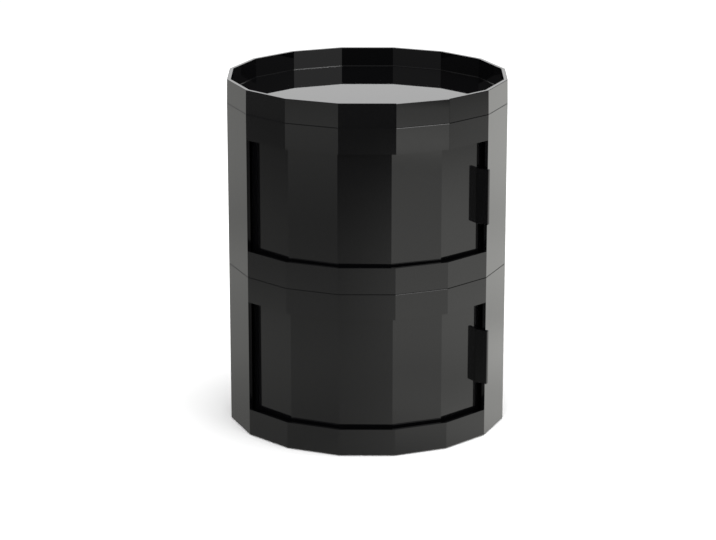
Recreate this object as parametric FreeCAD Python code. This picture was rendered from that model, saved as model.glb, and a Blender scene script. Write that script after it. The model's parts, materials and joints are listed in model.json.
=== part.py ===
import FreeCAD, Part
import math
import os

# Faceted stacking side cabinet: two identical casings with sliding doors, closed by a shallow tray.
# Millimetres, +Z up. The origin is on the floor under the middle of the base, and the front faces -Y.
# Angles are in degrees from the front, positive to the right, seen by someone who faces the cabinet.

# Casings and tray
SIDES = 16
CORNER_R = 160.0        # axis to an outer corner
WALL = 4.0
MODULE_H = 186.0
TRAY_H = 27.0
TRAY_DRAFT = 0.45       # the tray's corners come in by this much at the rim
FLOOR_T = 3.5
FLOOR_RECESS = 1.5      # the floor's underside lies this far above the wall's lower edge
CORNER_ROUND = 0.8      # on the upright outer corners
EDGE_BREAK = 0.5        # chamfer on the edges where two mouldings meet
TRAY_COVE = 1.0         # where the tray's wall meets its floor

# Door opening in a casing, heights above the wall's lower edge
OPENING_FACETS = 5
OPENING_BOTTOM = 30.0
OPENING_TOP = 157.0

# Doors: they run on behind both jambs, and each stands a little short of its closing stop
DOOR_CORNER_R = 150.6
DOOR_T = 3.5
DOOR_HALF_ANGLE = 61.0
DOOR_BOTTOM = 19.7
DOOR_H = 152.6
DOOR_SHUT = -0.1        # turn at the closing stop, where the pull is just clear of the jamb
DOOR_OPEN = -100.0      # turn at the opening stop
DOOR_STANDS = {"lower": -0.4, "upper": -1.1}

# Pull: an upright fin through a slot at the door's right-hand corner, with a foot on the door's inner face
PULL_FACET = 45.0       # the facet that carries the foot
PULL_TIP_R = 165.0      # axis to the fin's tip
PULL_ROOT_T = 4.0
PULL_TIP_T = 3.5
PULL_H = 63.0
PULL_MIDDLE = 94.0      # height of the fin's middle above the casing's lower edge
PULL_ROUND = 0.6        # on the tip's upright edges
PULL_BREAK = 0.6        # on the upper and lower edges
PULL_PLAY = 0.15        # fin to slot, each side
PULL_FOOT_T = 2.5
PULL_FOOT_LEFT = 11.0   # from the facet's middle
PULL_FOOT_RIGHT = 28.0
PULL_SCREW_PLACE = 17.0
PULL_SCREW_SPACING = 36.0

# Channel rings: one moulding, used as the door's track and, upside down, as its upper guide.
# Its sides follow the casing's, so a ring that hangs under a floor also keeps the stacked sides in line.
RING_PLAY = 0.5         # ring to casing wall
RING_INNER_CORNER_R = 142.2
GROOVE_OUTER_R = 150.3
GROOVE_INNER_R = 143.7
RING_H = 12.0
RING_WEB = 2.5
LUG_R = 134.0           # axis to a lug's screw
LUG_NOSE_R = 128.0      # axis to a lug's end
LUG_NOSE_W = 9.0
LUG_ROOT_W = 18.0
LUG_COUNT = 4
TRACK_LUG_START = 22.5
GUIDE_LUG_START = 67.5

# Glides: clips on the door's edges with a tongue in the ring's groove
GLIDE_ANGLES = (-45.0, 0.0, 45.0)
GLIDE_HALF_ANGLE = 3.9
GLIDE_W = 20.0
GLIDE_PLATE = 2.0
GLIDE_TONGUE = 12.0     # from the door's edge to the tongue's end
GLIDE_LEG_H = 6.0
GLIDE_INNER_LEG = 2.0
GLIDE_OUTER_LEG = 1.5
GLIDE_PLAY = 0.3        # tongue to groove, each side

# Rubber stops in the track and pads under the base
STOP_GAP = 0.2          # degrees from a stop to the glide that meets it
STOP_ANGLE = 5.0
STOP_H = 8.0
PAD_R = 10.0
PAD_PLACE_R = 136.0
PAD_PROUD = 1.0         # the pads hold the wall's lower edge off the floor
PAD_COUNT = 4
PAD_START = 22.5
PAD_BREAK = 0.4

# Self-tapping screws with pan heads, drawn with few sides because they are small and many
SCREW_SIDES = 12
SCREW_R = 1.25
SCREW_HEAD_R = 2.75
SCREW_HEAD_H = 1.8
SCREW_L = 5.3
PILOT_R = 1.3
PILOT_DEPTH = 3.0
CLEARANCE_R = 1.6

# Derived sizes
STEP = 360.0 / SIDES
FACET_COS = math.cos(math.radians(STEP / 2))
INNER_CORNER_R = CORNER_R - WALL / FACET_COS
RING_CORNER_R = INNER_CORNER_R - RING_PLAY / FACET_COS
DOOR_FACE = DOOR_CORNER_R * FACET_COS
DOOR_INNER_FACE = DOOR_FACE - DOOR_T
PULL_ANGLE = PULL_FACET + STEP / 2
PULL_ROOT_R = (DOOR_INNER_FACE - PULL_FOOT_T / 2) / FACET_COS
PULL_LOW = PULL_MIDDLE - PULL_H / 2
OPENING_HALF_ANGLE = OPENING_FACETS * STEP / 2
FLOOR_TOP = FLOOR_RECESS + FLOOR_T
LOWER_BASE = PAD_PROUD
UPPER_BASE = LOWER_BASE + MODULE_H
TRAY_BASE = UPPER_BASE + MODULE_H
BEYOND = 400.0          # a cutter's reach past everything

UP = FreeCAD.Vector(0, 0, 1)
RIGHT = FreeCAD.Vector(1, 0, 0)
AXIS = FreeCAD.Vector(0, 0, 0)


def at(radius, angle, z=0.0):
    """The point at a radius and at an angle from the front."""
    turn = math.radians(angle)
    return FreeCAD.Vector(radius * math.sin(turn), -radius * math.cos(turn), z)


def face_of(points):
    """A flat face inside a closed run of points."""
    return Part.Face(Part.makePolygon(points + points[:1]))


def rise(height):
    """An upward vector."""
    return FreeCAD.Vector(0, 0, height)


def outline(corner_r, z, sides=SIDES):
    """Corners of a regular outline, with a flat side to the front."""
    return [at(corner_r, 360.0 / sides * (side + 0.5), z) for side in range(sides)]


def prism(corner_r, z, height, sides=SIDES):
    """An upright block with regular sides, by default the cabinet's."""
    return face_of(outline(corner_r, z, sides)).extrude(rise(height))


def edges_along(shape, upright):
    """The edges of a shape that stand up, or those that lie flat."""
    return [edge for edge in shape.Edges if (abs(edge.tangentAt(edge.FirstParameter).z) > 0.5) == upright]


def shell_block(z, height, draft):
    """The outside of a casing or tray: rounded corners, broken edges, sides that come in towards the top."""
    lower = outline(CORNER_R, z)
    upper = outline(CORNER_R - draft, z + height)
    faces = [face_of([lower[i - 1], lower[i], upper[i], upper[i - 1]]) for i in range(SIDES)]
    skin = Part.makeShell(faces + [face_of(lower), face_of(upper)])
    skin.sewShape()
    block = Part.makeSolid(skin)
    block = block.makeFillet(CORNER_ROUND, edges_along(block, True))
    return block.makeChamfer(EDGE_BREAK, edges_along(block, False))


def wedge(half_angle, z, height):
    """The upright wedge in front of the axis, between two radial planes."""
    corners = [AXIS + rise(z), at(BEYOND, -half_angle, z), at(BEYOND, half_angle, z)]
    return face_of(corners).extrude(rise(height))


def turned(shape, angle):
    """A shape that was made at the front, carried round to an angle."""
    moved = shape.copy()
    moved.rotate(AXIS, UP, angle)
    return moved


def upside_down(shape, z):
    """A shape that was made on z = 0, flipped over and hung from a height."""
    flipped = shape.mirror(AXIS, UP)
    flipped.translate(rise(z))
    return flipped


def raised(shape, z):
    """A shape that was made on z = 0, set at a height."""
    moved = shape.copy()
    moved.translate(rise(z))
    return moved


def spread(count, start):
    """Angles of things spaced evenly round the axis."""
    return [start + 360.0 * index / count for index in range(count)]


def spread_copies(shape, radius, count, start):
    """Copies of a shape that was made on the axis, set out evenly round it and not turned."""
    copies = []
    for angle in spread(count, start):
        copy = shape.copy()
        copy.translate(at(radius, angle))
        copies.append(copy)
    return copies


def arc_block(inner_r, outer_r, first, last, z, height):
    """A block in the ring's groove, round about the axis, between two angles."""
    middle = (first + last) / 2
    outer = Part.Arc(at(outer_r, first, z), at(outer_r, middle, z), at(outer_r, last, z)).toShape()
    inner = Part.Arc(at(inner_r, last, z), at(inner_r, middle, z), at(inner_r, first, z)).toShape()
    sides = [
        Part.makeLine(at(outer_r, last, z), at(inner_r, last, z)),
        Part.makeLine(at(inner_r, first, z), at(outer_r, first, z)),
    ]
    return Part.Face(Part.Wire([outer, sides[0], inner, sides[1]])).extrude(rise(height))


def front_block(left, right, near, far, z, height):
    """A box at the front facet: left to right, and from near the axis to far from it."""
    corner = FreeCAD.Vector(left, -far, z)
    return Part.makeBox(right - left, far - near, height, corner)


def ring_pilots(z, start):
    """The blind holes for a ring's screws, from a height upwards."""
    return spread_copies(prism(PILOT_R, z, PILOT_DEPTH, SCREW_SIDES), LUG_R, LUG_COUNT, start)


def casing(base):
    """Wall and floor in one moulding, with the door opening and blind screw holes in its floor."""
    body = shell_block(base, MODULE_H, 0.0)
    room = prism(INNER_CORNER_R, base + FLOOR_TOP, MODULE_H)
    recess = prism(INNER_CORNER_R, base - FLOOR_RECESS, 2 * FLOOR_RECESS)
    opening = wedge(OPENING_HALF_ANGLE, base + OPENING_BOTTOM, OPENING_TOP - OPENING_BOTTOM)
    holes = ring_pilots(base + FLOOR_TOP - PILOT_DEPTH, TRACK_LUG_START)
    holes += ring_pilots(base + FLOOR_RECESS, GUIDE_LUG_START)
    return body.cut([room, recess, opening] + holes)


def tray(base):
    """Shallow tray whose wall carries on the casing's sides, with a cove round its floor."""
    body = shell_block(base, TRAY_H, TRAY_DRAFT)
    room = prism(INNER_CORNER_R - TRAY_DRAFT, base + FLOOR_TOP, TRAY_H)
    around_floor = [edge for edge in edges_along(room, False) if edge.BoundBox.ZMax < base + TRAY_H]
    room = room.makeFillet(TRAY_COVE, around_floor)
    recess = prism(INNER_CORNER_R, base - FLOOR_RECESS, 2 * FLOOR_RECESS)
    return body.cut([room, recess] + ring_pilots(base + FLOOR_RECESS, GUIDE_LUG_START))


def lug():
    """A tapered ear at the front, from the ring's inner rib to its nose."""
    return face_of([
        FreeCAD.Vector(-LUG_ROOT_W / 2, -RING_INNER_CORNER_R, 0),
        FreeCAD.Vector(-LUG_NOSE_W / 2, -LUG_NOSE_R, 0),
        FreeCAD.Vector(LUG_NOSE_W / 2, -LUG_NOSE_R, 0),
        FreeCAD.Vector(LUG_ROOT_W / 2, -RING_INNER_CORNER_R, 0),
    ]).extrude(rise(RING_WEB))


def channel_ring(start):
    """Faceted ring with a round groove open at the top, web down on z = 0, and screw lugs inside it."""
    depth = RING_H - RING_WEB
    groove = Part.makeCylinder(GROOVE_OUTER_R, depth, rise(RING_WEB))
    groove = groove.cut(Part.makeCylinder(GROOVE_INNER_R, depth, rise(RING_WEB)))
    ring = prism(RING_CORNER_R, 0, RING_H).cut([prism(RING_INNER_CORNER_R, 0, RING_H), groove])
    lugs = [turned(lug(), angle) for angle in spread(LUG_COUNT, start)]
    holes = spread_copies(prism(CLEARANCE_R, 0, RING_WEB, SCREW_SIDES), LUG_R, LUG_COUNT, start)
    return ring.fuse(lugs).cut(holes).removeSplitter()


def screw():
    """Screw with its head's underside on z = 0 and its point downwards."""
    shank = prism(SCREW_R, -SCREW_L, SCREW_L, SCREW_SIDES)
    return prism(SCREW_HEAD_R, 0, SCREW_HEAD_H, SCREW_SIDES).fuse(shank)


def ring_screws(start):
    """The screws of a ring whose web is down on z = 0."""
    return Part.makeCompound(spread_copies(raised(screw(), RING_WEB), LUG_R, LUG_COUNT, start))


def stop_bumpers():
    """Two blocks on the web of a track, one past each end of the door's travel."""
    inner_r = GROOVE_INNER_R + GLIDE_PLAY
    outer_r = GROOVE_OUTER_R - GLIDE_PLAY
    right = DOOR_SHUT + max(GLIDE_ANGLES) + GLIDE_HALF_ANGLE + STOP_GAP
    left = DOOR_OPEN + min(GLIDE_ANGLES) - GLIDE_HALF_ANGLE - STOP_GAP
    return Part.makeCompound([
        arc_block(inner_r, outer_r, right, right + STOP_ANGLE, RING_WEB, STOP_H),
        arc_block(inner_r, outer_r, left - STOP_ANGLE, left, RING_WEB, STOP_H),
    ])


def foot_pads():
    """Round pads under the lowest floor."""
    pad = Part.makeCylinder(PAD_R, PAD_PROUD + FLOOR_RECESS)
    rim = [edge for edge in edges_along(pad, False) if edge.BoundBox.ZMax < PAD_PROUD]
    pad = pad.makeChamfer(PAD_BREAK, rim)
    return Part.makeCompound(spread_copies(pad, PAD_PLACE_R, PAD_COUNT, PAD_START))


def pull_screw_heights():
    """Heights of the pull's two screws above the casing's lower edge."""
    return [PULL_MIDDLE - PULL_SCREW_SPACING / 2, PULL_MIDDLE + PULL_SCREW_SPACING / 2]


def pull_holes(radius, near, depth):
    """Holes for the pull's screws on the foot's facet, outwards from a distance to the axis."""
    holes = []
    for z in pull_screw_heights():
        hole = prism(radius, 0, depth, SCREW_SIDES)
        hole.rotate(AXIS, RIGHT, 90)
        hole.translate(FreeCAD.Vector(PULL_SCREW_PLACE, -near, z))
        holes.append(turned(hole, PULL_FACET))
    return holes


def door_panel():
    """A faceted strip of the door's ring, with the pull's slot and blind holes for its screws."""
    outer = prism(DOOR_CORNER_R, DOOR_BOTTOM, DOOR_H)
    inner = prism(DOOR_CORNER_R - DOOR_T / FACET_COS, DOOR_BOTTOM, DOOR_H)
    strip = outer.cut(inner).common(wedge(DOOR_HALF_ANGLE, DOOR_BOTTOM, DOOR_H))
    slot = front_block(
        -PULL_ROOT_T - PULL_PLAY, PULL_PLAY, DOOR_INNER_FACE, DOOR_CORNER_R,
        PULL_LOW - PULL_PLAY, PULL_H + 2 * PULL_PLAY,
    )
    return strip.cut([turned(slot, PULL_ANGLE)] + pull_holes(PILOT_R, DOOR_INNER_FACE, PILOT_DEPTH))


def pull_fin():
    """The tapered fin with a rounded tip, whose right face lies on a radius of the cabinet."""
    fin = face_of([
        FreeCAD.Vector(0, -PULL_ROOT_R, PULL_LOW),
        FreeCAD.Vector(0, -PULL_TIP_R, PULL_LOW),
        FreeCAD.Vector(-PULL_TIP_T, -PULL_TIP_R, PULL_LOW),
        FreeCAD.Vector(-PULL_ROOT_T, -PULL_ROOT_R, PULL_LOW),
    ]).extrude(rise(PULL_H))
    tip = [edge for edge in edges_along(fin, True) if edge.BoundBox.YMax < -DOOR_CORNER_R]
    fin = fin.makeFillet(PULL_ROUND, tip)
    free = [edge for edge in edges_along(fin, False) if edge.BoundBox.YMin < -DOOR_CORNER_R]
    return turned(fin.makeChamfer(PULL_BREAK, free), PULL_ANGLE)


def door_pull():
    """The fin and the foot that holds it to the door's inner face, in one moulding."""
    near = DOOR_INNER_FACE - PULL_FOOT_T
    foot = front_block(PULL_FOOT_LEFT, PULL_FOOT_RIGHT, near, DOOR_INNER_FACE, PULL_LOW, PULL_H)
    return pull_fin().fuse(turned(foot, PULL_FACET)).cut(pull_holes(CLEARANCE_R, near, PULL_FOOT_T))


def pull_screws():
    """Screws from inside the door through the pull's foot."""
    placed = []
    for z in pull_screw_heights():
        one = screw()
        one.rotate(AXIS, RIGHT, -90)
        one.translate(FreeCAD.Vector(PULL_SCREW_PLACE, PULL_FOOT_T - DOOR_INNER_FACE, z))
        placed.append(turned(one, PULL_FACET))
    return Part.makeCompound(placed)


def glide():
    """One clip at the front facet: a saddle over the panel's edge on z = 0, and a tongue below it."""
    half = GLIDE_W / 2
    near = DOOR_INNER_FACE - GLIDE_INNER_LEG
    far = DOOR_FACE + GLIDE_OUTER_LEG
    saddle = front_block(-half, half, near, far, -GLIDE_PLATE, GLIDE_PLATE + GLIDE_LEG_H)
    slot = front_block(-half, half, DOOR_INNER_FACE, DOOR_FACE, 0, GLIDE_LEG_H)
    tongue = arc_block(
        GROOVE_INNER_R + GLIDE_PLAY, GROOVE_OUTER_R - GLIDE_PLAY,
        -GLIDE_HALF_ANGLE, GLIDE_HALF_ANGLE, -GLIDE_TONGUE, GLIDE_TONGUE - GLIDE_PLATE,
    )
    return saddle.cut(slot).fuse(tongue).removeSplitter()


def glides():
    """The clips along one edge of the door."""
    one = glide()
    return Part.makeCompound([turned(one, angle) for angle in GLIDE_ANGLES])


def module_pieces(name, base):
    """The pieces that stand still in one module."""
    floor = base + FLOOR_TOP
    return {
        name + "_casing": casing(base),
        name + "_track_ring": raised(channel_ring(TRACK_LUG_START), floor),
        name + "_track_ring_screws": raised(ring_screws(TRACK_LUG_START), floor),
        name + "_stop_bumpers": raised(stop_bumpers(), floor),
    }


def guide_pieces(name, under):
    """The ring that closes a module's top, hung under the floor of what stands on it."""
    return {
        name + "_guide_ring": upside_down(channel_ring(GUIDE_LUG_START), under),
        name + "_guide_ring_screws": upside_down(ring_screws(GUIDE_LUG_START), under),
    }


def door_pieces(name, base):
    """One door with what is fixed to it, turned to where it stands."""
    pieces = {
        name + "_door_panel": door_panel(),
        name + "_door_pull": door_pull(),
        name + "_door_pull_screws": pull_screws(),
        name + "_door_bottom_glides": raised(glides(), DOOR_BOTTOM),
        name + "_door_top_glides": upside_down(glides(), DOOR_BOTTOM + DOOR_H),
    }
    return {node: turned(raised(shape, base), DOOR_STANDS[name]) for node, shape in pieces.items()}


def cabinet():
    """Every node of the cabinet."""
    pieces = {}
    for name, base in (("lower", LOWER_BASE), ("upper", UPPER_BASE)):
        pieces.update(module_pieces(name, base))
        pieces.update(door_pieces(name, base))
        pieces.update(guide_pieces(name, base + MODULE_H + FLOOR_RECESS))
    pieces["foot_pads"] = foot_pads()
    pieces["tray"] = tray(TRAY_BASE)
    return pieces


os.makedirs("parts", exist_ok=True)
for node, shape in cabinet().items():
    shape.exportStep("parts/" + node + ".step")
    box = shape.BoundBox
    print(node, len(shape.Solids), "solids", shape.isValid(), round(shape.Volume), "mm3",
          "z", round(box.ZMin, 2), round(box.ZMax, 2), "width", round(box.XLength, 1), round(box.YLength, 1))
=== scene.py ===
# %% [markdown]
# # A faceted black side cabinet
#
# The cabinet is two identical sixteen-sided casings, each with a door that slides round inside its wall,
# under a shallow tray. The shapes come from the CAD frame and stay as they are. This lesson gives them their
# finishes, makes the small screws again in detail, and then builds the floor, the light and the camera that
# show a gloss black moulding well.

import json
import math

import bmesh
import bpy
from mathutils import Matrix, Vector


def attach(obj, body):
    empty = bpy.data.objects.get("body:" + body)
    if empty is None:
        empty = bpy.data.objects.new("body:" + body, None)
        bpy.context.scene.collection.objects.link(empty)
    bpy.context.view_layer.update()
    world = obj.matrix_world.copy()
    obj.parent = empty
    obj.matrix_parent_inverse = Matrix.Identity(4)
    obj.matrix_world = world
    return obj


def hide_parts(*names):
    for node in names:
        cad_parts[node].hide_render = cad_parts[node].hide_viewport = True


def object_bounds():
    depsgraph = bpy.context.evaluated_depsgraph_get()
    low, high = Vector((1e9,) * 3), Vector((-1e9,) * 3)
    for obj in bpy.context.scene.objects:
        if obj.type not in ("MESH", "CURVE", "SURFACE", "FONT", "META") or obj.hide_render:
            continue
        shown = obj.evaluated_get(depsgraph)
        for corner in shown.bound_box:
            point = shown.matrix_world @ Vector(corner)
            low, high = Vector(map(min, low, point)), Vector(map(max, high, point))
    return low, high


MM = 0.001   # a millimetre in the scene's metres

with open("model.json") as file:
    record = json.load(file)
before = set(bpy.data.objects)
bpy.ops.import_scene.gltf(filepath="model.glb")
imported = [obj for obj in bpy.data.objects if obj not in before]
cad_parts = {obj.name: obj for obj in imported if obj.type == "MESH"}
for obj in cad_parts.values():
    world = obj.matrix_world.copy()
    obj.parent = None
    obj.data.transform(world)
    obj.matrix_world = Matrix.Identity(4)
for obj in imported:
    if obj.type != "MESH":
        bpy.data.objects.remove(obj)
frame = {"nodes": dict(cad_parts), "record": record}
cad_low, cad_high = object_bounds()
print("CAD nodes:", len(frame["nodes"]), "box in mm:", [round(v / MM, 1) for v in cad_high - cad_low])

# %% [markdown]
# ## Helpers for materials
#
# A material in Blender is a tree of nodes. Such trees are mostly drawn with the mouse, and in a script each
# node would take several lines. Here `add` makes a node with its settings and links in one call, so that each
# finish below can be read as a recipe. Colours are written as sRGB hex, the way a colour picker shows them,
# and `linear` turns them into the linear light that shaders work in. `per_mm` turns a real size into the
# scale of a texture.

# %% Colour, scale and node helpers
def linear(hex_code):
    """An sRGB hex colour as linear RGBA, by the formula of the sRGB standard."""
    channels = [int(hex_code[i:i + 2], 16) / 255 for i in (1, 3, 5)]
    return [c / 12.92 if c <= 0.04045 else ((c + 0.055) / 1.055) ** 2.4 for c in channels] + [1.0]


def per_mm(size_mm):
    """The texture scale whose features are about this many millimetres across."""
    return 1 / (size_mm * MM)


def connect(tree, node, inputs):
    """Give a node's inputs, by name or number, their values or the sockets that drive them."""
    for key, value in inputs.items():
        if isinstance(value, bpy.types.NodeSocket):
            tree.links.new(value, node.inputs[key])
        else:
            node.inputs[key].default_value = value


def add(tree, kind, inputs=None, **settings):
    """One node: settings are its own properties, inputs are values or sockets."""
    node = tree.nodes.new("ShaderNode" + kind)
    for name, value in settings.items():
        setattr(node, name, value)
    connect(tree, node, inputs or {})
    return node


def new_finish(name):
    """A new material, its node tree and its main shader."""
    material = bpy.data.materials.new(name)
    material.use_nodes = True
    tree = material.node_tree
    return material, tree, tree.nodes["Principled BSDF"]


print("black #0a0a0b is linear", [round(c, 4) for c in linear("#0a0a0b")[:3]])

# %% [markdown]
# ## Outside and inside of a moulding
#
# The half of a moulding tool that forms the outside is polished, and the half that forms the inside is only
# blasted. So one piece of plastic has a glossy and a satin finish. Every face could be given its finish by
# hand, but the material can tell them apart by itself from where a face lies. A face is inside if it lies
# deeper than the wall, or if it is on the wall and looks towards the axis. The cut edges of an opening do
# neither, so they stay glossy.

# %% Mask of the inside
FACETS = 16
SKIN = 0.0004        # metres: no point of the outside lies this far under the flats
WALL_DEPTH = 0.004   # metres further in, nothing belongs to the wall
LOOKS_IN = -0.07     # radius times the normal: below this a face looks towards the axis


def inside_of(node):
    """The radius just under a faceted wall's flats, which its outside never goes below."""
    corner = max(vertex.co.xy.length for vertex in frame["nodes"][node].data.vertices)
    return corner * math.cos(math.pi / FACETS) - SKIN


def satin_mask(tree, coordinates, inside):
    """One on faces inside a radius that look towards the axis or lie deeper than the wall, else zero."""
    flat = add(tree, "VectorMath", {0: coordinates["Object"], 1: (1.0, 1.0, 0.0)}, operation="MULTIPLY")
    outwards = flat.outputs["Vector"]
    radius = add(tree, "VectorMath", {0: outwards}, operation="LENGTH").outputs["Value"]
    facing = add(tree, "VectorMath", {0: outwards, 1: coordinates["Normal"]}, operation="DOT_PRODUCT")
    inwards = add(tree, "Math", {0: facing.outputs["Value"], 1: LOOKS_IN}, operation="LESS_THAN").outputs[0]
    deep = add(tree, "Math", {0: radius, 1: inside - WALL_DEPTH}, operation="LESS_THAN").outputs[0]
    either = add(tree, "Math", {0: inwards, 1: deep}, operation="MAXIMUM").outputs[0]
    near = add(tree, "Math", {0: radius, 1: inside}, operation="LESS_THAN").outputs[0]
    return add(tree, "Math", {0: near, 1: either}, operation="MULTIPLY").outputs[0]


casing_inside = inside_of("lower_casing")
door_inside = inside_of("lower_door_panel")
print("inside starts at", round(casing_inside, 4), "m in casings and", round(door_inside, 4), "m in doors")

# %% [markdown]
# ## Gloss black ABS
#
# The casings, doors, pulls and tray are ABS, dyed black in the mass. A polished steel tool gives it a skin
# like a mirror, so nearly all that the eye sees is the mirrored floor. One dark colour with a low roughness
# would come close, but would look like black glass. Three faint things tell moulded plastic from that: the
# skin is slightly wavy where the plastic shrank, handling leaves a patchy haze on the gloss, and the black is
# not quite even along the flow of the plastic. A noise texture at the real size of each gives all three. The
# blasted inside has a fine grain, and scatters enough light to look a shade greyer.

# %% Gloss ABS material
ABS_IOR = 1.53
FLOW_MM = 70         # length of the flow patches in the black
HAZE_MM = 9          # patches of handling haze
NOISE_LOW = 0.3      # nearly all of a noise texture lies between these two
NOISE_HIGH = 0.7
WAVE_MM = 24         # shrink waves in the skin
WAVE_HEIGHT = 6e-6   # metres from trough to crest
GRAIN_MM = 0.8       # grain of the blasted inside, a little coarser than real so that it shows
GRAIN_HEIGHT = 3e-5
SATIN_ADDS = 0.32    # roughness that the blasting adds
GLOSS_BLACKS = ("#050506", "#080809")   # darkest and palest of the flow patches
SATIN_BLACKS = ("#3a3a3b", "#424243")   # the same where the tool is blasted


def gloss_abs(name, rough, inside=0.0):
    """Black ABS whose roughness wanders between two values, and which is satin inside a radius."""
    material, tree, plastic = new_finish(name)
    coordinates = add(tree, "TexCoord").outputs
    place = coordinates["Object"]
    satin = satin_mask(tree, coordinates, inside)

    # Colour: uneven along the flow, and greyer where the tool is blasted.
    flow = add(tree, "TexNoise", {"Vector": place, "Scale": per_mm(FLOW_MM), "Detail": 2.0}).outputs["Fac"]
    blacks = []
    for dark, pale in (GLOSS_BLACKS, SATIN_BLACKS):
        tones = {"Factor": flow, "A": linear(dark), "B": linear(pale)}
        blacks.append(add(tree, "Mix", tones, data_type="RGBA").outputs["Result"])
    black = add(tree, "Mix", {"Factor": satin, "A": blacks[0], "B": blacks[1]}, data_type="RGBA")

    # Gloss: patchy from handling, and duller where the tool is blasted.
    haze = add(tree, "TexNoise", {"Vector": place, "Scale": per_mm(HAZE_MM), "Detail": 4.0}).outputs["Fac"]
    polish = add(tree, "MapRange", {
        "Value": haze, "From Min": NOISE_LOW, "From Max": NOISE_HIGH, "To Min": rough[0], "To Max": rough[1],
    }).outputs["Result"]
    dullness = add(tree, "Math", {0: satin, 1: SATIN_ADDS, 2: polish}, operation="MULTIPLY_ADD")

    # Skin: shrink waves all over, and grain where the tool is blasted.
    wave = add(tree, "TexNoise", {"Vector": place, "Scale": per_mm(WAVE_MM), "Detail": 1.0}).outputs["Fac"]
    wavy = add(tree, "Bump", {"Height": wave, "Distance": WAVE_HEIGHT}).outputs["Normal"]
    grain = add(tree, "TexNoise", {"Vector": place, "Scale": per_mm(GRAIN_MM), "Detail": 2.0}).outputs["Fac"]
    skin = add(tree, "Bump", {"Height": grain, "Strength": satin, "Distance": GRAIN_HEIGHT, "Normal": wavy})

    connect(tree, plastic, {
        "Base Color": black.outputs["Result"],
        "Roughness": dullness.outputs["Value"],
        "Normal": skin.outputs["Normal"],
        "IOR": ABS_IOR,
    })
    return material


casing_abs = gloss_abs("casing_gloss_abs", rough=(0.045, 0.075), inside=casing_inside)
tray_abs = gloss_abs("tray_gloss_abs", rough=(0.015, 0.03))   # polished inside too, the crispest mirror
door_abs = gloss_abs("door_gloss_abs", rough=(0.05, 0.085), inside=door_inside)
pull_abs = gloss_abs("pull_gloss_abs", rough=(0.05, 0.09), inside=door_inside)
print("made", casing_abs.name, tray_abs.name, door_abs.name, pull_abs.name)

# %% [markdown]
# ## Acetal and rubber
#
# The rings and glides are acetal, a waxy plastic that slides well. It has less gloss than ABS, and the fine
# grain of an eroded tool. The pads and stops are moulded rubber. Each material could have nodes of its own,
# but the two differ only in their numbers, so one function makes both.

# %% Acetal and rubber materials
def moulded(name, blacks, patch_mm, grain_mm, grain_height, rough, ior):
    """A plain moulding: two close blacks in patches, uneven gloss, and a fine grain."""
    material, tree, plastic = new_finish(name)
    place = add(tree, "TexCoord").outputs["Object"]
    patch = add(tree, "TexNoise", {"Vector": place, "Scale": per_mm(patch_mm), "Detail": 3.0}).outputs["Fac"]
    tones = {"Factor": patch, "A": linear(blacks[0]), "B": linear(blacks[1])}
    black = add(tree, "Mix", tones, data_type="RGBA")
    dullness = add(tree, "MapRange", {
        "Value": patch, "From Min": NOISE_LOW, "From Max": NOISE_HIGH, "To Min": rough[0], "To Max": rough[1],
    })
    grain = add(tree, "TexNoise", {"Vector": place, "Scale": per_mm(grain_mm), "Detail": 2.0}).outputs["Fac"]
    skin = add(tree, "Bump", {"Height": grain, "Distance": grain_height})
    connect(tree, plastic, {
        "Base Color": black.outputs["Result"],
        "Roughness": dullness.outputs["Result"],
        "Normal": skin.outputs["Normal"],
        "IOR": ior,
    })
    return material


# Waxy, so its highlights are broad and dim.
acetal = moulded(
    "black_acetal", blacks=("#141416", "#1a1a1c"), patch_mm=30, grain_mm=0.5, grain_height=8e-6,
    rough=(0.32, 0.42), ior=1.48,
)
# Matte and a little dusty, so it has hardly any highlights.
rubber = moulded(
    "black_rubber", blacks=("#131313", "#1b1b1a"), patch_mm=12, grain_mm=0.4, grain_height=2e-5,
    rough=(0.7, 0.85), ior=1.52,
)
print("made", acetal.name, rubber.name)

# %% [markdown]
# ## Zinc-plated steel
#
# The screws are steel with bright zinc: a grey metal with a soft shine, slightly cloudy because the zinc
# grows as fine crystals. Two textures could make the clouds in its grey and in its shine. On the real
# plating they are the same clouds, so one noise drives both, and a paler patch is also a duller one.

# %% Zinc material
ZINC_GREYS = ("#a4a5a2", "#c4c6c4")
ZINC_ROUGH = (0.22, 0.38)
CLOUD_MM = 1.5

zinc, tree, plating = new_finish("zinc_plated_steel")
place = add(tree, "TexCoord").outputs["Object"]
cloud = add(tree, "TexNoise", {"Vector": place, "Scale": per_mm(CLOUD_MM), "Detail": 3.0}).outputs["Fac"]
tones = {"Factor": cloud, "A": linear(ZINC_GREYS[0]), "B": linear(ZINC_GREYS[1])}
grey = add(tree, "Mix", tones, data_type="RGBA")
dullness = add(tree, "MapRange", {"Value": cloud, "To Min": ZINC_ROUGH[0], "To Max": ZINC_ROUGH[1]})
connect(tree, plating, {
    "Base Color": grey.outputs["Result"],
    "Roughness": dullness.outputs["Result"],
    "Metallic": 1.0,
})
print("made", zinc.name)

# %% [markdown]
# ## Finishes on the pieces
#
# Finishes could be given to the pieces one by one. The record already says which material slot each piece
# takes, so a table from slot to finish does it in one loop and misses none. Only the tray differs from the
# casings in the same slot, because its inside is polished too.

# %% Give every piece its finish
finish_of_slot = {
    "casing_plastic": casing_abs,
    "door_plastic": door_abs,
    "pull_plastic": pull_abs,
    "ring_plastic": acetal,
    "glide_plastic": acetal,
    "rubber": rubber,
    "screw_steel": zinc,
}
for part in frame["record"]["subparts"]:
    mesh = frame["nodes"][part["node"]].data
    mesh.materials.clear()
    mesh.materials.append(finish_of_slot[part["material_slot"]])
frame["nodes"]["tray"].data.materials[0] = tray_abs

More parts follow.
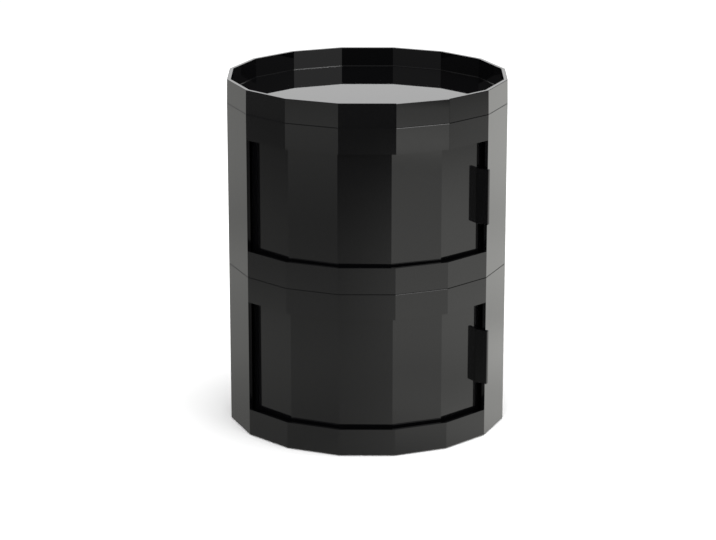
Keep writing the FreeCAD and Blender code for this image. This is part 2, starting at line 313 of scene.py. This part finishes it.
# %% [markdown]
# ## Pan-head screws
#
# Small self-tapping screws hold the rings and the pulls. The frame draws them plainly, with twelve sides, so
# here they are made again as the turned and rolled parts that they are. A bump in the material could hint at
# the thread, but its outline would stay smooth, so it is modelled. A pan head and a point are round, so an
# outline of radius and height is spun about the axis.

# %% Outlines of the head and the point
SCREW_LENGTH = 5.3      # under the head, in millimetres as all sizes here
HEAD_R = 2.7
HEAD_H = 1.75
SIDE_H = 0.5            # the head's straight side ends here, and its dome begins
DOME_STEPS = 4
DOME_POWER = 0.77       # 1 is a quarter of an ellipse, and less is fuller, as on a pan head
HEAD_EDGE = 0.12        # chamfer under the head
ROOT_R = 0.9            # of the thread
THREAD_END = 4.0        # below this the screw comes to its point
TIP_R = 0.25            # the point ends in a small blunt cone
TIP_H = 0.15
TIP_SHORT = 0.05        # and stops this far short of the plain screw's end
AROUND = 24             # flats round the head and the thread


def dome_point(step):
    """A point of the head's outline, from the middle of its top to the edge of its side."""
    turn = math.pi / 2 * step / DOME_STEPS
    rise = (HEAD_H - SIDE_H) * math.cos(turn) ** DOME_POWER
    return HEAD_R * math.sin(turn) ** DOME_POWER, SIDE_H + rise


def spin(mesh, outline):
    """The skin that an outline of (radius, height) points sweeps about the axis."""
    points = [mesh.verts.new((radius, 0.0, height)) for radius, height in outline]
    edges = [mesh.edges.new(pair) for pair in zip(points, points[1:])]
    bmesh.ops.spin(mesh, geom=points + edges, cent=(0, 0, 0), axis=(0, 0, 1), angle=math.tau, steps=AROUND)


head_outline = [dome_point(step) for step in range(DOME_STEPS + 1)]
head_outline += [(HEAD_R, HEAD_EDGE), (HEAD_R - HEAD_EDGE, 0.0), (ROOT_R, 0.0)]
point_outline = [
    (ROOT_R, -THREAD_END),
    (TIP_R, TIP_SHORT + TIP_H - SCREW_LENGTH),
    (0.0, TIP_SHORT - SCREW_LENGTH),
]
blank = bmesh.new()
spin(blank, head_outline)
spin(blank, point_outline)
print("head and point:", len(blank.faces), "faces")

# %% [markdown]
# ## The thread
#
# A thread is rolled into the shank. Blender's Screw modifier could wind a ridge round it, but its two ends
# would stay open. So the ridge is laid out row by row, where each row sinks by one pitch in a turn and rows
# on the crest alternate with rows on the root. Rows that would pass the shank's ends are held there, so the
# thread runs out into the head and the point. Merging the points that meet makes one closed skin.

# %% Thread between head and point
CREST_R = 1.2
PITCH = 1.0
MEET = 0.001            # points closer than this are one


def thread_point(row, column):
    """A point of the thread: odd rows are the crest, and every row sinks as it goes round."""
    turn = math.tau * column / AROUND
    depth = PITCH * (row / 2 + column / AROUND - 1)
    radius = CREST_R if row % 2 and 0 < depth < THREAD_END else ROOT_R
    return radius * math.cos(turn), radius * math.sin(turn), -min(max(depth, 0.0), THREAD_END)


rows = []
for row in range(2 * round(THREAD_END / PITCH + 1) + 1):
    rows.append([blank.verts.new(thread_point(row, column)) for column in range(AROUND + 1)])
for upper_row, lower_row in zip(rows, rows[1:]):
    for column in range(AROUND):
        corners = (upper_row[column], lower_row[column], lower_row[column + 1], upper_row[column + 1])
        blank.faces.new(corners)
bmesh.ops.remove_doubles(blank, verts=blank.verts, dist=MEET)
bmesh.ops.recalc_face_normals(blank, faces=blank.faces)
open_edges = sum(not edge.is_manifold for edge in blank.edges)
print("screw blank:", len(blank.faces), "faces, open edges:", open_edges)

# %% [markdown]
# ## The cross recess
#
# A punch with a tapered cross forms the recess in a real head. It could be cut into the head's faces corner
# by corner, but a Boolean modifier does what the punch does: the cross is built as its own closed shape and
# taken away from the blank. What is left becomes the mesh of every screw.

# %% Punch the recess
RECESS_DEPTH = 1.1
PUNCH_PROUD = 0.1               # the punch stands this far out of the head
PUNCH_TOP = (1.4, 0.36)         # half length and half width of an arm where it enters the head
PUNCH_TIP = (0.6, 0.24)         # and at the bottom of the recess
PUNCH_TURN = math.pi / AROUND   # half a flat, so that no corner of the cross meets an edge of the head


def cross(mesh, half_length, half_width, height):
    """The twelve corners of a cross, in order."""
    arm = [(half_length, -half_width), (half_length, half_width), (half_width, half_width)]
    corners = []
    for quarter in range(4):
        turn = Matrix.Rotation(PUNCH_TURN + math.tau * quarter / 4, 3, "Z")
        corners += [mesh.verts.new(turn @ Vector((x, y, height))) for x, y in arm]
    return corners


def as_object(name, mesh):
    """A bmesh as an object in the scene."""
    data = bpy.data.meshes.new(name)
    mesh.to_mesh(data)
    mesh.free()
    holder = bpy.data.objects.new(name, data)
    bpy.context.scene.collection.objects.link(holder)
    return holder


punch_mesh = bmesh.new()
punch_top = cross(punch_mesh, *PUNCH_TOP, HEAD_H + PUNCH_PROUD)
punch_tip = cross(punch_mesh, *PUNCH_TIP, HEAD_H - RECESS_DEPTH)
punch_mesh.faces.new(punch_top)
punch_mesh.faces.new(reversed(punch_tip))
for side in range(len(punch_top)):
    punch_mesh.faces.new((punch_top[side - 1], punch_tip[side - 1], punch_tip[side], punch_top[side]))
bmesh.ops.recalc_face_normals(punch_mesh, faces=punch_mesh.faces)

blank_holder = as_object("screw_blank", blank)
punch = as_object("cross_punch", punch_mesh)
recess = blank_holder.modifiers.new("recess", "BOOLEAN")
recess.object = punch
recess.operation = "DIFFERENCE"
recess.solver = "EXACT"
punched = blank_holder.evaluated_get(bpy.context.evaluated_depsgraph_get())
screw_mesh = bpy.data.meshes.new_from_object(punched)
screw_mesh.transform(Matrix.Scale(MM, 4))
for helper in (blank_holder, punch):
    bpy.data.objects.remove(helper)
print("screw:", len(screw_mesh.polygons), "faces")

# %% [markdown]
# ## Screws in their places
#
# The places could be written out as a list, but the frame knows them: each plain screw shows where its
# better one goes. The points furthest from a screw's middle are those of its tip, so the tip's centre and
# the middle give the axis. Nobody stops a screw with its cross square to the next, so each is turned on by a
# different angle.

# %% Set the screws
SCREW_APART = 0.008     # metres: points closer than this are on the same screw
TIP_SHARE = 0.97        # points beyond this share of the furthest one's distance are on the tip
TURN_ON = 137.5         # degrees from one screw's cross to the next
SMOOTH_BELOW = 35.0     # degrees: faces that meet at less are shaded as one curve
BODY_OF = {node: body for body, nodes in frame["record"]["behaviour"]["bodies"].items() for node in nodes}


def plain_screws(node):
    """The points of each screw in a node of plain screws."""
    groups = []
    for vertex in frame["nodes"][node].data.vertices:
        near = [group for group in groups if (group[0] - vertex.co).length < SCREW_APART]
        if near:
            near[0].append(vertex.co)
        else:
            groups.append([vertex.co])
    return groups


def seat_of(points, spin_angle):
    """The matrix that puts a screw, made head up with its neck at the origin, where these points are."""
    middle = sum(points, Vector()) / len(points)
    reach = max((point - middle).length for point in points)
    tip_points = [point for point in points if (point - middle).length > TIP_SHARE * reach]
    tip = sum(tip_points, Vector()) / len(tip_points)
    head_way = (middle - tip).normalized()
    neck = Matrix.Translation(tip + SCREW_LENGTH * MM * head_way)
    upright = head_way.to_track_quat("Z", "X").to_matrix().to_4x4()
    return neck @ upright @ Matrix.Rotation(spin_angle, 4, "Z")


screw_count = 0
for part in frame["record"]["subparts"]:
    node = part["node"]
    if part["material_slot"] != "screw_steel":
        continue
    together = bmesh.new()
    for points in plain_screws(node):
        one = screw_mesh.copy()
        one.transform(seat_of(points, math.radians(TURN_ON * screw_count)))
        together.from_mesh(one)
        bpy.data.meshes.remove(one)
        screw_count += 1
    piece = as_object(node.replace("screws", "pan_screws"), together)
    piece.data.materials.append(zinc)
    piece.data.shade_smooth()
    piece.data.set_sharp_from_angle(angle=math.radians(SMOOTH_BELOW))
    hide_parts(node)
    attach(piece, BODY_OF[node])
print("set", screw_count, "screws")

# %% [markdown]
# ## What a gloss black wall sees
#
# A camera that looks down on upright gloss walls sees the floor in them, never the lamps. In a studio that
# floor is not evenly lit: light lies on it in pools, strongest behind and to the right, and it is dark
# towards the camera. Many lamps could light such pools, but each would also change the shadow. So the pools
# are drawn in the floor's material, for gloss alone to see, and one function sums them. It works for the
# floor, where a place is a point in metres, and for the room, where a place is a direction of length one and
# a radius is the distance between two such directions. The other function tells a material who looks at it.

# %% Pools of light
def pools(tree, spot, plan):
    """Sum of round pools, each full inside one radius and gone at another: (place, inner, outer, level)."""
    total = None
    for place, inner, outer, level in plan:
        far = add(tree, "VectorMath", {0: spot, 1: place}, operation="DISTANCE").outputs["Value"]
        fall = {"Value": far, "From Min": inner, "From Max": outer, "To Min": level, "To Max": 0.0}
        pool = add(tree, "MapRange", fall, interpolation_type="SMOOTHSTEP").outputs["Result"]
        total = add(tree, "Math", {0: total, 1: pool}, operation="ADD").outputs[0] if total else pool
    return total


def who_looks(tree):
    """Two masks: the first is 1 where gloss looks, the second where the camera does, also through glass."""
    path = add(tree, "LightPath").outputs
    straight = {0: path["Is Camera Ray"], 1: path["Is Transmission Ray"]}
    return path["Is Glossy Ray"], add(tree, "Math", straight, operation="MAXIMUM").outputs[0]


# place on the floor in metres, inner and outer radius, level
LEFT_POOLS = [
    ((0.0, 0.0, 0.0), 0.35, 1.6, 0.25),      # round the cabinet
    ((-0.45, -0.4, 0.0), 0.1, 0.55, 0.13),   # close by the front left
    ((-0.48, 0.28, 0.0), 0.15, 0.5, 0.17),   # close by the back left
    ((-1.3, -1.4, 0.0), 0.0, 1.3, 0.44),     # front left
    ((-2.3, -0.1, 0.0), 0.1, 0.6, 0.07),     # far out to the left
    ((-1.3, 1.2, 0.0), 0.2, 1.6, 0.56),      # back left
    ((-4.5, -4.0, 0.0), 1.0, 3.6, 0.45),     # far off, front left, which only a low camera sees mirrored
    ((-4.5, 4.0, 0.0), 1.0, 3.6, 0.60),      # far off, back left
]
RIGHT_POOLS = [
    ((0.1, -0.17, 0.0), 0.02, 0.26, 0.25),   # at the foot of the front right
    ((0.65, -0.8, 0.0), 0.3, 1.25, 0.83),    # front right
    ((1.32, -1.4, 0.0), 0.27, 0.46, 0.64),   # a small bright patch out to the front right
    ((1.7, -0.2, 0.0), 0.3, 0.9, 0.17),      # far out to the right
    ((0.15, 0.15, 0.0), 0.15, 0.32, 0.42),   # at the foot of the right side
    ((0.5, 0.3, 0.0), 0.1, 0.5, 0.40),       # close by the back right
    ((1.3, 1.3, 0.0), 0.3, 2.05, 1.5),       # back right, the brightest
    ((4.5, -4.0, 0.0), 1.0, 3.6, 0.80),      # far off, front right
    ((4.5, 4.0, 0.0), 1.0, 3.6, 0.90),       # far off, back right
]
print("pools on the floor:", len(LEFT_POOLS) + len(RIGHT_POOLS))

# %% [markdown]
# ## The floor
#
# The floor is white paper. A plain white material would do for a matte object, but here the camera and the
# gloss have to see different things. To the camera the paper is exposed a little over white, as in a cut-out
# product picture, so only the deep part of the shadow shows, close to the base. To the gloss it is the pools
# above. A painted shade, drawn where a flag, a black card beside a lamp, would shade the floor, keeps the
# right-hand pools off the left side, so their level rises across the middle.

# %% Floor
FLOOR_HALF = 9.0
BARE_LEVEL = 0.09       # what gloss sees in the floor outside every pool
PAINTED_SHADE_FROM = -0.15       # metres across the floor, where the right-hand pools start
PAINTED_SHADE_TO = 0.20          # and where they reach their full level
PAPER_SHADE = 0.85      # how much light the paper scatters
PAPER_EXPOSURE = 1.24   # how far over white the paper is exposed to the camera

bpy.ops.mesh.primitive_plane_add(size=2 * FLOOR_HALF)
floor = bpy.context.active_object
floor.name = "studio_floor"

floor_paper = bpy.data.materials.new("white_paper_floor")
floor_paper.use_nodes = True
tree = floor_paper.node_tree
tree.nodes.clear()
spot = add(tree, "NewGeometry").outputs["Position"]
across = add(tree, "SeparateXYZ", {"Vector": spot}).outputs["X"]
# Painted shade: the right-hand pools fade out towards the left, as a flag's shadow would fade them.
edge = {"Value": across, "From Min": PAINTED_SHADE_FROM, "From Max": PAINTED_SHADE_TO}
painted_flag_shade = add(tree, "MapRange", edge, interpolation_type="SMOOTHSTEP").outputs["Result"]
left = pools(tree, spot, LEFT_POOLS)
right = pools(tree, spot, RIGHT_POOLS)
bare_and_left = add(tree, "Math", {0: left, 1: BARE_LEVEL}, operation="ADD").outputs[0]
level = add(tree, "Math", {0: right, 1: painted_flag_shade, 2: bare_and_left}, operation="MULTIPLY_ADD").outputs[0]
gloss_looks, camera_looks = who_looks(tree)
shade = add(tree, "MapRange", {"Value": camera_looks, "To Min": PAPER_SHADE, "To Max": PAPER_EXPOSURE})
plain = add(tree, "BsdfDiffuse", {"Color": shade.outputs["Result"]}).outputs["BSDF"]
mirrored = add(tree, "Emission", {"Color": linear("#fffffb"), "Strength": level}).outputs["Emission"]
both = add(tree, "MixShader", {"Fac": gloss_looks, 1: plain, 2: mirrored}).outputs["Shader"]
add(tree, "OutputMaterial", {"Surface": both})
floor.data.materials.append(floor_paper)
print("floor", floor.name, "half width", FLOOR_HALF, "m")

# %% [markdown]
# ## The room
#
# The world is white to the camera and a soft even fill to everything that scatters light. A white room all
# round would turn gloss black to grey, so to the gloss it is a dark room with six pale things in it. The
# tray's floor and rim mirror the white backdrop behind. A bright card at the front right lights one facet
# inside the tray, and there are weak cards at the front left and the right. The ceiling keeps faces that
# look straight up from mirroring plain black. A painted reflection of a lamp's bare face, a small bright
# patch that only the gloss sees, shows as thin bright lines in two of the seams.

# %% World
ROOM_LEVEL = 0.08
FILL_LEVEL = 0.72


def heading(azimuth, elevation):
    """A direction of length one: azimuth from the front towards the right, elevation up, in degrees."""
    a = math.radians(azimuth)
    e = math.radians(elevation)
    return Vector((math.sin(a) * math.cos(e), -math.cos(a) * math.cos(e), math.sin(e)))


# direction, inner and outer radius, level
CARDS = [
    (heading(180, 12), 0.45, 0.75, 1.16),    # backdrop
    (heading(45, 20), 0.15, 0.45, 1.28),     # front right
    (heading(-45, 17), 0.15, 0.40, 0.36),    # front left
    (heading(90, 15), 0.10, 0.40, 0.12),     # right
    (heading(0, 90), 0.45, 1.1, 0.24),       # ceiling
    # The last card is a painted reflection: it stands in the gloss for the bare face of a lamp.
    (heading(95, 67), 0.15, 0.20, 7.0),      # bare face of a lamp
]

world = bpy.data.worlds.new("studio_room")
world.use_nodes = True
bpy.context.scene.world = world
tree = world.node_tree
tree.nodes.clear()
way = add(tree, "TexCoord").outputs["Generated"]
room = add(tree, "Math", {0: pools(tree, way, CARDS), 1: ROOM_LEVEL}, operation="ADD").outputs[0]
gloss_looks, camera_looks = who_looks(tree)
fill = add(tree, "MapRange", {"Value": camera_looks, "To Min": FILL_LEVEL, "To Max": 1.0}).outputs["Result"]
strength = add(tree, "Mix", {"Factor": gloss_looks, "A": fill, "B": room}).outputs["Result"]
sky = add(tree, "Background", {"Color": linear("#ffffff"), "Strength": strength}).outputs["Background"]
add(tree, "OutputWorld", {"Surface": sky})
print("world", world.name, "with", len(CARDS), "pale things")

# %% [markdown]
# ## The lamps
#
# One large softbox hangs high and a little to the right, so a soft shadow falls close round the base, most
# of it on the left. A weaker one stands in front and shines into the compartments when the doors are open.
# Lamps that show in the gloss would put a bright patch on every facet at the right angle. So the gloss sees
# neither: what it mirrors is drawn in the floor and the room, where each bright thing is placed by itself.

# %% Softboxes
LAMPS = [
    # name, direction, metres away, width in metres, watts
    ("key_softbox", heading(70, 74), 3.0, 2.4, 45.0),
    ("front_softbox", heading(-15, 25), 3.2, 1.2, 30.0),
]
middle = (cad_low + cad_high) / 2
for name, way, away, width, watts in LAMPS:
    lamp = bpy.data.lights.new(name, "AREA")
    lamp.size = width
    lamp.energy = watts
    holder = bpy.data.objects.new(name, lamp)
    holder.location = middle + away * way
    holder.rotation_euler = (-way).to_track_quat("-Z", "Y").to_euler()
    holder.visible_glossy = False
    bpy.context.scene.collection.objects.link(holder)
    print("lamp", name, "at", [round(v, 2) for v in holder.location])

# %% [markdown]
# ## The camera
#
# The photograph looks down at the front through a long lens, from 2.8 metres away and a little under a metre
# up. Place, tilt and lens come from fitting the corners of the rim and the base. A shifted lens would also
# keep the upright edges parallel, but other views would keep the shift and lose the object, so it has none.

# %% Camera
LENS_MM = 127.0
SENSOR_MM = 36.0
CAMERA_PLACE = (0.0019, -2.7954, 0.9769)
LOOKS_DOWN = 16.102     # degrees from level
LOOKS_LEFT = 0.254      # degrees from straight on

camera_data = bpy.data.cameras.new("photo_camera")
camera_data.sensor_width = SENSOR_MM
camera_data.lens = LENS_MM
camera = bpy.data.objects.new("photo_camera", camera_data)
camera.location = CAMERA_PLACE
camera.rotation_euler = (math.radians(90 - LOOKS_DOWN), 0.0, math.radians(LOOKS_LEFT))
bpy.context.scene.collection.objects.link(camera)
bpy.context.scene.camera = camera
bpy.context.scene.view_settings.view_transform = "Standard"
print("camera", [round(v, 3) for v in camera.location], "lens", camera_data.lens)
